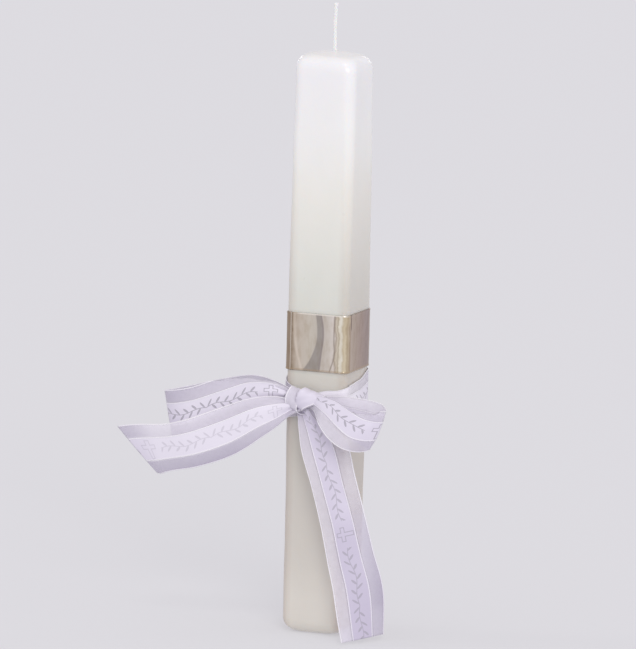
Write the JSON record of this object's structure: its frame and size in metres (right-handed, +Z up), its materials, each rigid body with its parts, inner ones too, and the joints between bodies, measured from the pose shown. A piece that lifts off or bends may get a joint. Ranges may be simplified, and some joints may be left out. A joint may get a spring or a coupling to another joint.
{
  "type": "ceremonial pillar candle",
  "caption": "Tall square pillar candle with a slim wick, a polished metal sleeve round its middle and a printed satin and organza ribbon tied in a bow under it.",
  "frame": {"origin": "centre of the wax body's flat base", "axes": "+Z up along the candle, -Y out of the front face where the bow is tied, +X to the right seen from the front"},
  "size_m": [0.151, 0.0559, 0.3276],
  "materials": {
    "wax": "smooth glossy wax, white at the top and cream-grey lower down",
    "cotton": "braided cotton coated in wax",
    "polished_metal": "polished thin sheet in a pale champagne tone, slightly wavy",
    "ribbon_cloth": "lilac-white satin centre between sheer organza bands, with bright woven edge lines and fine grey line print"
  },
  "bodies": {
    "candle": {"wax_body": "wax", "wick": "cotton"},
    "ribbon": {"ribbon_wrap": "ribbon_cloth", "ribbon_knot": "ribbon_cloth", "ribbon_loop_left": "ribbon_cloth", "ribbon_loop_right": "ribbon_cloth", "ribbon_tail_left": "ribbon_cloth", "ribbon_tail_right": "ribbon_cloth"},
    "sleeve": {"metal_sleeve": "polished_metal"}
  },
  "joints": [
    {"name": "ribbon_slide", "type": "slide", "parent": "candle", "child": "ribbon", "axis": [0, 0, 1], "range_m": [0, 0.22]},
    {"name": "sleeve_slide", "type": "slide", "parent": "ribbon", "child": "sleeve", "axis": [0, 0, 1], "range_m": [0, 0.195]}
  ]
}
